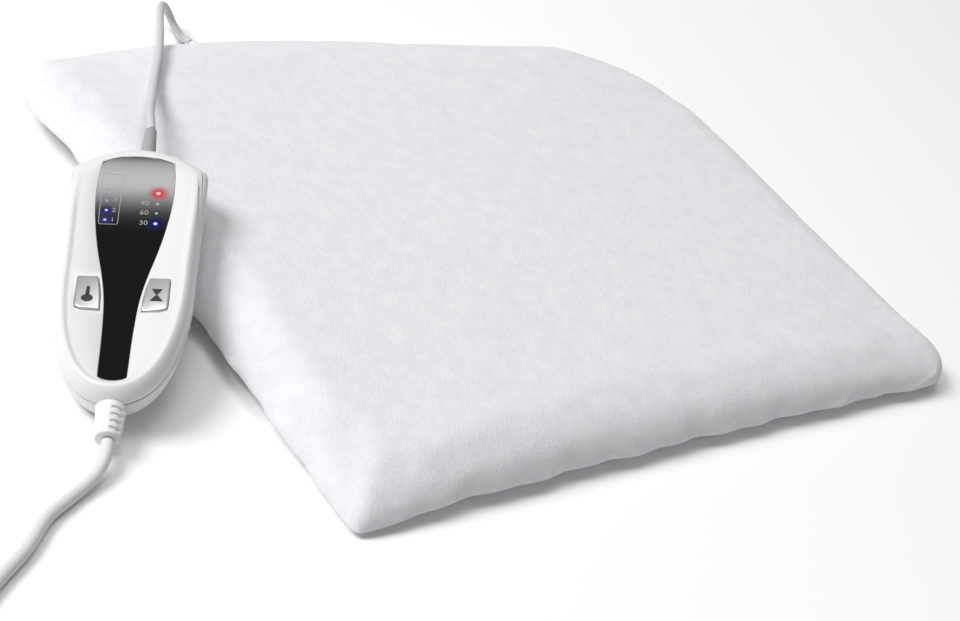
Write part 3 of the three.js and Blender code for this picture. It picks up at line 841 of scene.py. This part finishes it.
bm = bmesh.new()
plate(bm, PLUG_LINE[::-1], -PLUG_HALF_THICK, PLUG_HALF_THICK)
round_edges(bm, [edge for edge in bm.edges if climb(edge) > 1], CORNER_ROUND, 4)
level = [edge for edge in bm.edges if climb(edge) < 0.1 and edge.calc_face_angle(0) > 1.0]
round_edges(bm, level, EDGE_ROUND, 5)
bmesh.ops.translate(bm, vec=PLUG_PLACE, verts=bm.verts)
plug_body = new_piece("plug_body_cover", in_metres(bm))
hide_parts("plug_body")
plug_sleeve = turned_sleeve("plug_sleeve_cover", tapered(20, 5.0, 3.8, slots=3, first=8), 180,
                            PLUG_PLACE + Vector((0, -0.3, 0)))
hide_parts("plug_sleeve")


# %% The plug's pins
PIN_SIDE, PIN_FOOT = 9.3, 36.3
PIN_STATIONS = [(0, 2.0, 0), (9.0, 2.0, 0), (9.1, 1.8, 0), (17.8, 1.8, 0), (18.6, 1.35, 0),
                (19, 0.8, 0)]


def plug_pin(name, side):
    place = PLUG_PLACE + Vector((side * PIN_SIDE, PIN_FOOT, 0))
    return turned_sleeve(name, PIN_STATIONS, 0, place)


pin_left, pin_right = plug_pin("pin_left", -1), plug_pin("pin_right", 1)
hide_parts("plug_pin_left")
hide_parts("plug_pin_right")

# %% [markdown]
# Round lamps show through the window, and beside them are plain numbers for the heat steps and the
# minutes. A lamp is a low dome, and a number is a font's outline made into a flat mesh.

# %% Lamps behind the window
LAMP_SIDES, LAMP_LIFT = 20, 0.02


def lamp_dome(name, x, y, radius):
    angles = [2 * math.pi * k / LAMP_SIDES for k in range(LAMP_SIDES)]
    outline = [(x + radius * math.cos(a), y + radius * math.sin(a)) for a in angles]
    bm = bmesh.new()
    face = filled(bm, place_line(bm, at_height(outline, WINDOW_FACE + LAMP_LIFT)))
    face.normal_update()
    if face.normal.z < 0:
        face.normal_flip()
    for share in (0.3, 0.35):
        bmesh.ops.inset_region(bm, faces=[face], thickness=radius * share, depth=0.06,
                               use_boundary=True)
    return new_piece(name, seated(bm))


LAMPS = {  # where each lamp is on the control, and its radius, in mm
    "lamp_power": (10.8, -12.1, 1.15), "lamp_long": (11.0, -19.2, 0.75),
    "lamp_middle": (10.9, -25.5, 0.75), "lamp_short": (11.0, -32.4, 0.95),
    "lamp_heat_4": (-12.6, -10.5, 0.7), "lamp_heat_3": (-12.8, -18.0, 0.7),
    "lamp_heat_2": (-12.4, -24.6, 0.8), "lamp_heat_1": (-12.5, -31.0, 0.8),
}
lamps = {name: lamp_dome(name, *measures) for name, measures in LAMPS.items()}


# %% Numbers on the window
MARK_LIFT = 0.03


def number_piece(name, words, x, y, height):
    text = bpy.data.curves.new(name, "FONT")
    text.body = words
    text.size = height * 1.4
    text.align_x, text.align_y = "CENTER", "CENTER"
    text.extrude = 0.02
    text.resolution_u = 3
    holder = bpy.data.objects.new(name, text)
    bpy.context.scene.collection.objects.link(holder)
    bm = bmesh.new()
    bm.from_mesh(holder.to_mesh())
    bpy.data.objects.remove(holder)
    bmesh.ops.translate(bm, vec=(x, y, WINDOW_FACE + MARK_LIFT), verts=bm.verts)
    return new_piece(name, seated(bm), smooth=False)


NUMBERS = {  # what each says, where its middle is on the control, and its height, in mm
    "minutes_long": ("90", 5.0, -19.1, 3.0), "minutes_middle": ("60", 5.2, -25.4, 3.0),
    "minutes_short": ("30", 5.4, -32.2, 3.0), "heat_4": ("4", -9.0, -10.6, 2.8),
    "heat_3": ("3", -9.0, -17.6, 2.8), "heat_2": ("2", -9.0, -24.5, 2.8),
    "heat_1": ("1", -9.0, -31.0, 2.8),
}
marks = [number_piece(name, *measures) for name, measures in NUMBERS.items()]

# %% A frame and a bar on the window
HEAT_FRAME = [(-16.4, -0.6), (-15.8, 0), (-7.0, 0), (-6.3, -0.6), (-6.3, -33.2), (-7, -34),
              (-14.6, -34), (-15.4, -33.2)]
POWER_BAR = [(6.1, -10.75), (-0.9, -10.75), (-0.9, -11.65), (6.1, -11.65)]
FRAME_WIDTH, FRAME_THICK, BAR_THICK = 0.35, 0.03 * MM, 0.04
bm = bmesh.new()
panel = filled(bm, place_line(bm, at_height(HEAT_FRAME, WINDOW_FACE + MARK_LIFT)))
bmesh.ops.inset_region(bm, faces=[panel], thickness=FRAME_WIDTH, use_boundary=True)
bmesh.ops.delete(bm, geom=[panel], context="FACES")
heat_frame = solidified(new_piece("heat_frame", seated(bm), smooth=False), FRAME_THICK)
bm = bmesh.new()
plate(bm, POWER_BAR, WINDOW_FACE, WINDOW_FACE + BAR_THICK)
power_bar = new_piece("power_bar", seated(bm), smooth=False)
marks += [heat_frame, power_bar]

# %% Signs on the keys
SIGN_SIZE, SIGN_DEPTH, SIGN_LIFT, BULB_SIDES = 3.6, 0.05, 0.06, 16
HOURGLASS = [  # corners of each part, in sizes of the sign
    [(-0.7, 1), (-0.12, 0), (0.12, 0), (0.7, 1)],
    [(0.85, -1.1), (0.12, -0.06), (-0.12, -0.06), (-0.85, -1.1)],
]
bulb_angles = [2 * math.pi * k / BULB_SIDES for k in reversed(range(BULB_SIDES))]
THERMOMETER = [
    [(0.75 * math.sin(a), -0.75 + 0.62 * math.cos(a)) for a in bulb_angles],
    [(-0.26, -0.3), (0.26, -0.3), (0.2, 1.25), (-0.2, 1.25)],
]


def sign_piece(name, shapes, x, y, body):
    bm = bmesh.new()
    for shape in shapes:
        line = [(x + across * SIGN_SIZE, y + up * SIGN_SIZE) for across, up in shape]
        plate(bm, line, KEY_FACE - SIGN_DEPTH, KEY_FACE + SIGN_LIFT)
    return new_piece(name, seated(bm), body, smooth=False)


time_sign = sign_piece("time_sign", HOURGLASS, 15.4, -78.6, "right_key")
heat_sign = sign_piece("heat_sign", THERMOMETER, -15.4, -79.2, "left_key")

# %% [markdown]
# Brushed fleece is a matt, near-white pile. Seen from arm's length it is a soft mottle of small
# tufts, so the nap is two layers of noise: fine hairs, and the clumps that brushing leaves. The
# clumps also darken the colour where they dip, as painted shade in the hollows of the nap.

# %% Node helpers
def new_group(name, inputs, outputs):
    """A shader group whose sockets are plain numbers; inputs gives their usual values."""
    group = bpy.data.node_groups.new(name, "ShaderNodeTree")
    for socket, usual in inputs.items():
        made = group.interface.new_socket(name=socket, in_out="INPUT",
                                          socket_type="NodeSocketFloat")
        made.default_value = usual
    for socket in outputs:
        group.interface.new_socket(name=socket, in_out="OUTPUT", socket_type="NodeSocketFloat")
    given = group.nodes.new("NodeGroupInput")
    result = group.nodes.new("NodeGroupOutput")
    place = group.nodes.new("ShaderNodeTexCoord")
    return group, given.outputs, result.inputs, place.outputs["Object"]


def add_node(tree, kind, **values):
    node = tree.nodes.new(kind)
    for name, value in values.items():
        if hasattr(node, name):
            setattr(node, name, value)
        else:
            node.inputs[name.replace("_", " ").title()].default_value = value
    return node


def link(tree, *pairs):
    for source, target in pairs:
        tree.links.new(source, target)


# %% The fleece's nap
CLUMP_HEIGHT = 0.55  # a clump's height against a tuft's
nap, given, result, place = new_group(
    "fleece_nap", {"Tuft Scale": 700.0, "Clump Scale": 130.0}, ["Mottle", "Height"])
tufts = add_node(nap, "ShaderNodeTexNoise", detail=4.0, roughness=0.65, distortion=0.6)
clumps = add_node(nap, "ShaderNodeTexNoise", detail=2.0, roughness=0.5, distortion=0.3)
both = add_node(nap, "ShaderNodeMath", operation="MULTIPLY_ADD")
both.inputs[1].default_value = CLUMP_HEIGHT
link(nap, (place, tufts.inputs["Vector"]), (place, clumps.inputs["Vector"]),
     (given["Tuft Scale"], tufts.inputs["Scale"]), (given["Clump Scale"], clumps.inputs["Scale"]),
     (clumps.outputs["Fac"], both.inputs[0]), (tufts.outputs["Fac"], both.inputs[2]),
     (clumps.outputs["Fac"], result["Mottle"]), (both.outputs["Value"], result["Height"]))
print(nap.name, "has", len(nap.nodes), "nodes")

# %% The fine grain of moulded plastic
SMUDGE_SCALE = 60.0
grain, given, result, place = new_group(
    "moulded_grain", {"Scale": 900.0, "Low": 0.25, "High": 0.4}, ["Roughness", "Height"])
speck = add_node(grain, "ShaderNodeTexNoise", detail=3.0, roughness=0.6)
smudge = add_node(grain, "ShaderNodeTexNoise", detail=2.0, roughness=0.5, scale=SMUDGE_SCALE)
spread = grain.nodes.new("ShaderNodeMapRange")
link(grain, (place, speck.inputs["Vector"]), (place, smudge.inputs["Vector"]),
     (given["Scale"], speck.inputs["Scale"]), (smudge.outputs["Fac"], spread.inputs["Value"]),
     (given["Low"], spread.inputs["To Min"]), (given["High"], spread.inputs["To Max"]),
     (spread.outputs["Result"], result["Roughness"]), (speck.outputs["Fac"], result["Height"]))
print(grain.name, "has", len(grain.nodes), "nodes")


# %% A material and its bump
def new_material(name, colour, roughness, **sockets):
    made = bpy.data.materials.new(name)
    made.use_nodes = True
    shader = made.node_tree.nodes["Principled BSDF"]
    shader.inputs["Base Color"].default_value = (*colour, 1)
    shader.inputs["Roughness"].default_value = roughness
    for socket, value in sockets.items():
        shader.inputs[socket.replace("_", " ")].default_value = value
    return made, made.node_tree, shader


def add_bump(tree, shader, height, strength, distance):
    bump = add_node(tree, "ShaderNodeBump", strength=strength, distance=distance)
    link(tree, (height, bump.inputs["Height"]), (bump.outputs["Normal"], shader.inputs["Normal"]))


def place_group(tree, group, **values):
    node = tree.nodes.new("ShaderNodeGroup")
    node.node_tree = group
    for name, value in values.items():
        node.inputs[name.replace("_", " ")].default_value = value
    return node


# %% Fleece
FLEECE_TUFTS, FLEECE_CLUMPS = 620.0, 120.0
fleece, tree, shader = new_material("brushed_fleece", (0.8, 0.8, 0.82), 0.95, Sheen_Weight=0.3,
                                    Sheen_Roughness=0.6, Specular_IOR_Level=0.15)
pile = place_group(tree, nap, Tuft_Scale=FLEECE_TUFTS, Clump_Scale=FLEECE_CLUMPS)
# Painted shade: the colour is darker where the clumps dip in the bump and lighter on their crests.
clump_shading = tree.nodes.new("ShaderNodeValToRGB")
shaded_hollow, lit_crest = clump_shading.color_ramp.elements
shaded_hollow.position, shaded_hollow.color = 0.3, (0.735, 0.735, 0.76, 1)
lit_crest.position, lit_crest.color = 0.7, (0.79, 0.79, 0.81, 1)
link(tree, (pile.outputs["Mottle"], clump_shading.inputs["Fac"]),
     (clump_shading.outputs["Color"], shader.inputs["Base Color"]))
add_bump(tree, shader, pile.outputs["Height"], 0.55, 0.7 * MM)
print("fleece: tufts of about", round(1000 / FLEECE_TUFTS, 1), "mm")


# %% Plastics, rubber and metal
def plastic(name, colour, low, high, bump=0.04, **sockets):
    """low and high are the least and the most roughness over the surface."""
    made, tree, shader = new_material(name, colour, (low + high) / 2, **sockets)
    skin = place_group(tree, grain, Scale=900.0, Low=low, High=high)
    link(tree, (skin.outputs["Roughness"], shader.inputs["Roughness"]))
    add_bump(tree, shader, skin.outputs["Height"], bump, 0.1 * MM)
    print(name, "is", colour)
    return made


white_shell = plastic("white_shell", (0.72, 0.72, 0.725), 0.26, 0.38,
                      Coat_Weight=0.15, Coat_Roughness=0.15)
silver_key = plastic("silver_key", (0.62, 0.62, 0.63), 0.28, 0.4, Metallic=0.75)
sleeve_rubber = plastic("sleeve_rubber", (0.74, 0.74, 0.75), 0.45, 0.6, 0.1)
# A darker copy of the sleeve rubber for the lead's sleeve: its grey is painted shade.
sleeve_rubber_painted_shade = plastic("sleeve_rubber_painted_shade", (0.33, 0.33, 0.34), 0.45, 0.6, 0.1)
cord_skin = plastic("cord_skin", (0.56, 0.56, 0.575), 0.38, 0.5, 0.06)
mains_skin = plastic("mains_skin", (0.68, 0.68, 0.69), 0.38, 0.5, 0.06)
pin_metal = plastic("pin_metal", (0.75, 0.75, 0.73), 0.15, 0.28, Metallic=1.0)
black_sign = plastic("black_sign", (0.02, 0.02, 0.02), 0.4, 0.5)
pale_mark = plastic("pale_mark", (0.3, 0.32, 0.32), 0.4, 0.5)
tie_plastic = plastic("tie_plastic", (0.7, 0.7, 0.7), 0.4, 0.6)


# %% [markdown]
# The window is black, but its upper part has a pale grey fade, partly print and partly a painted
# reflection, and round each lamp a painted glow lights a little of the plate. Both are laid out in
# the control's own frame, so a Mapping node turns the object's coordinates back into it.

# %% The window's print and painted reflection
window_black, tree, shader = new_material("window_black", (0.006, 0.006, 0.007), 0.12,
                                          Specular_IOR_Level=0.25)
place = tree.nodes.new("ShaderNodeTexCoord")
back_to_control = add_node(tree, "ShaderNodeMapping", vector_type="TEXTURE")
back_to_control.inputs["Location"].default_value = CONTROL_SEAT.to_translation()
back_to_control.inputs["Rotation"].default_value = CONTROL_SEAT.to_euler()
local = back_to_control.outputs["Vector"]
apart = tree.nodes.new("ShaderNodeSeparateXYZ")
FADE_FROM, FADE_TO = -42 * MM, 13 * MM  # along the control, from the dark end to the window's top
along = add_node(tree, "ShaderNodeMapRange", from_min=FADE_FROM, from_max=FADE_TO)
# The fade is partly the window's print and partly a painted reflection of the bright room.
print_and_reflection_fade = tree.nodes.new("ShaderNodeValToRGB")
print_and_reflection_fade.color_ramp.interpolation = "B_SPLINE"
PRINT_AND_REFLECTION_STOPS = [(0.0, 0.004), (0.15, 0.006), (0.3, 0.03), (0.45, 0.16), (0.6, 0.42), (0.78, 0.42),
              (0.92, 0.3), (1.0, 0.02)]
for number, (position, grey) in enumerate(PRINT_AND_REFLECTION_STOPS):
    stops = print_and_reflection_fade.color_ramp.elements
    stop = stops[number] if number < 2 else stops.new(position)
    stop.position, stop.color = position, (grey, grey, grey * 1.02, 1)
link(tree, (place.outputs["Object"], back_to_control.inputs["Vector"]),
     (local, apart.inputs["Vector"]), (apart.outputs["Y"], along.inputs["Value"]),
     (along.outputs["Result"], print_and_reflection_fade.inputs["Fac"]))
print("the window's fade has", len(print_and_reflection_fade.color_ramp.elements), "stops")


# %% The lamps' painted glow on the window
def falloff(tree, local, x, y, reach):
    """1 at a lamp, fading to 0 at its reach, all in metres."""
    away = add_node(tree, "ShaderNodeVectorMath", operation="DISTANCE")
    away.inputs[1].default_value = (x * MM, y * MM, WINDOW_FACE * MM)
    near = add_node(tree, "ShaderNodeMapRange", interpolation_type="SMOOTHERSTEP",
                    from_min=reach * MM, from_max=0.0)
    link(tree, (local, away.inputs[0]), (away.outputs["Value"], near.inputs["Value"]))
    return near.outputs["Result"]


def colour_socket(sockets, name):
    """A Mix node has one socket of each name for every kind of data."""
    return next(s for s in sockets if s.name == name and s.type == "RGBA")


PAINTED_GLOWS = [  # lamp, the colour of the glow painted on the plate round it, and how far it reaches in mm
    ("lamp_power", (0.46, 0.03, 0.035), 7.0), ("lamp_short", (0.005, 0.005, 0.09), 6.0),
    ("lamp_middle", (0.02, 0.05, 0.03), 3.4), ("lamp_heat_3", (0.16, 0.16, 0.2), 3.0),
    ("lamp_heat_2", (0.015, 0.012, 0.12), 5.2), ("lamp_heat_1", (0.03, 0.025, 0.13), 4.6),
]
colour = print_and_reflection_fade.outputs["Color"]
# Each glow is painted light: near its lamp, the plate's colour is mixed towards the glow's colour.
for lamp, glow_colour, reach in PAINTED_GLOWS:
    x, y, _ = LAMPS[lamp]
    mix = add_node(tree, "ShaderNodeMix", data_type="RGBA")
    colour_socket(mix.inputs, "B").default_value = (*glow_colour, 1)
    link(tree, (falloff(tree, local, x, y, reach), mix.inputs["Factor"]),
         (colour, colour_socket(mix.inputs, "A")))
    colour = colour_socket(mix.outputs, "Result")
link(tree, (colour, shader.inputs["Base Color"]))
print("lamps that glow on the window:", len(PAINTED_GLOWS))


# %% The lamps' light
def lit(name, colour, strength):
    made, tree, shader = new_material(name, [0.3 * part for part in colour], 0.3)
    shader.inputs["Emission Color"].default_value = (*colour, 1)
    shader.inputs["Emission Strength"].default_value = strength
    return made


LAMP_LIGHT = {
    "lamp_power": ((1.0, 0.42, 0.42), 0.75), "lamp_long": ((0.62, 0.56, 0.54), 0.4),
    "lamp_middle": ((0.45, 0.62, 0.52), 0.4), "lamp_short": ((0.6, 0.66, 1.0), 0.7),
    "lamp_heat_4": ((0.5, 0.5, 0.52), 0.2), "lamp_heat_3": ((0.55, 0.55, 0.6), 0.3),
    "lamp_heat_2": ((0.5, 0.52, 0.85), 0.55), "lamp_heat_1": ((0.56, 0.57, 0.85), 0.5),
}
print("lit lamps:", len(LAMP_LIGHT))


# %% Dress the pieces
def dress(made, *pieces):
    for piece in pieces:
        piece.data.materials.clear()
        piece.data.materials.append(made)


dress(fleece, pad_cover)
dress(white_shell, upper_shell, lower_shell, plug_body)
dress(window_black, window)
dress(silver_key, left_key, right_key)
dress(sleeve_rubber, mains_sleeve, pad_sleeve, plug_sleeve)
dress(sleeve_rubber_painted_shade, lead_sleeve)
dress(cord_skin, pad_lead)
dress(mains_skin, mains_cord)
dress(pin_metal, pin_left, pin_right)
dress(black_sign, time_sign, heat_sign)
dress(pale_mark, *marks)
dress(tie_plastic, coil_tie)
for name, (colour, strength) in LAMP_LIGHT.items():
    dress(lit(name + "_light", colour, strength), lamps[name])
print("materials:", ", ".join(sorted(made.name for made in bpy.data.materials)))

# %% [markdown]
# The picture is bright and soft: a wide light stands to the left of the pad and a little behind
# it, so that the left side is almost white, the near side falls into grey, and the control shades
# the pad on its right. A weaker light overhead fills the top.

# %% Floor and light
floor_mesh = bpy.data.meshes.new("floor")
bm = bmesh.new()
bmesh.ops.create_grid(bm, x_segments=1, y_segments=1, size=6)
bm.to_mesh(floor_mesh)
bm.free()
floor = bpy.data.objects.new("floor", floor_mesh)
bpy.context.scene.collection.objects.link(floor)
floor_white, _, _ = new_material("floor_white", (0.98, 0.98, 0.98), 0.6, Specular_IOR_Level=0.2)
dress(floor_white, floor)
world = bpy.data.worlds.new("sky")
world.use_nodes = True
sky = world.node_tree.nodes["Background"]
sky.inputs["Color"].default_value = (0.97, 0.97, 1.0, 1)
sky.inputs["Strength"].default_value = 0.215
bpy.context.scene.world = world
bpy.context.scene.view_settings.view_transform = "Standard"


def soft_light(name, place, target, size, power):
    data = bpy.data.lights.new(name, "AREA")
    data.shape = "DISK"
    data.size = size
    data.energy = power
    light = bpy.data.objects.new(name, data)
    light.location = Vector(place)
    light.rotation_euler = (Vector(target) - Vector(place)).to_track_quat("-Z", "Y").to_euler()
    bpy.context.scene.collection.objects.link(light)


soft_light("key_light", (-3.0, 1.35, 3.05), (-0.1, 0.0, 0.0), 2.0, 160)
soft_light("top_light", (-0.4, 0.9, 4.2), (-0.1, 0.0, 0.0), 2.6, 62)
print("floor and lights are set")
